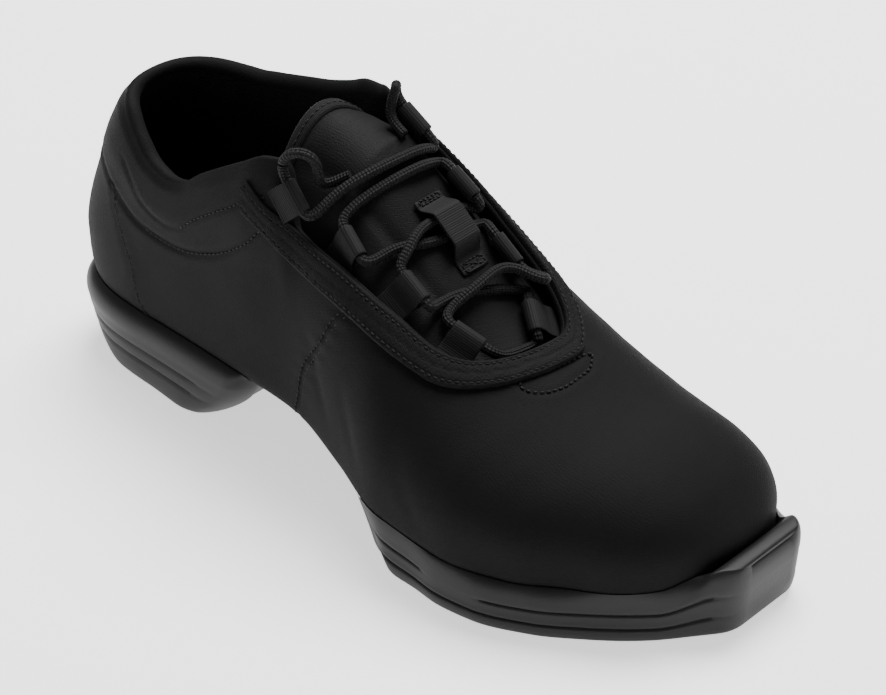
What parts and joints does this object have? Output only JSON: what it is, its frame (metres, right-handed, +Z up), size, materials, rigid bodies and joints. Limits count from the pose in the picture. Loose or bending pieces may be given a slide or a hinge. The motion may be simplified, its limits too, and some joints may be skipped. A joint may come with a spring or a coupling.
{
  "type": "dance sneaker, right shoe",
  "caption": "Right dance sneaker in black canvas with a padded collar, split rubber sole with a square toe block, webbing lace tabs and elastic lace",
  "frame": {"origin": "on the floor under the middle of the shoe's bounding box", "axes": "+X towards the toe, +Y towards the wearer's left (the medial side of this right shoe), +Z up"},
  "size_m": [0.264, 0.1, 0.1225],
  "materials": {
    "black canvas": "matte",
    "black knit": "matte",
    "charcoal rubber": "matte",
    "black webbing": "matte"
  },
  "bodies": {
    "root": {"upper": "black canvas", "eyestay": "black canvas", "heel_sole": "charcoal rubber", "forefoot_sole": "charcoal rubber", "insole": "black knit", "tongue": "black knit", "tongue_keeper": "black webbing", "tab_lateral_1": "black webbing", "tab_lateral_2": "black webbing", "tab_lateral_3": "black webbing", "tab_lateral_4": "black webbing", "tab_medial_1": "black webbing", "tab_medial_2": "black webbing", "tab_medial_3": "black webbing", "tab_medial_4": "black webbing", "lace_loop": "black webbing", "lace_bar": "black webbing", "lace_end_lateral": "black webbing", "lace_end_medial": "black webbing"}
  },
  "joints": []
}
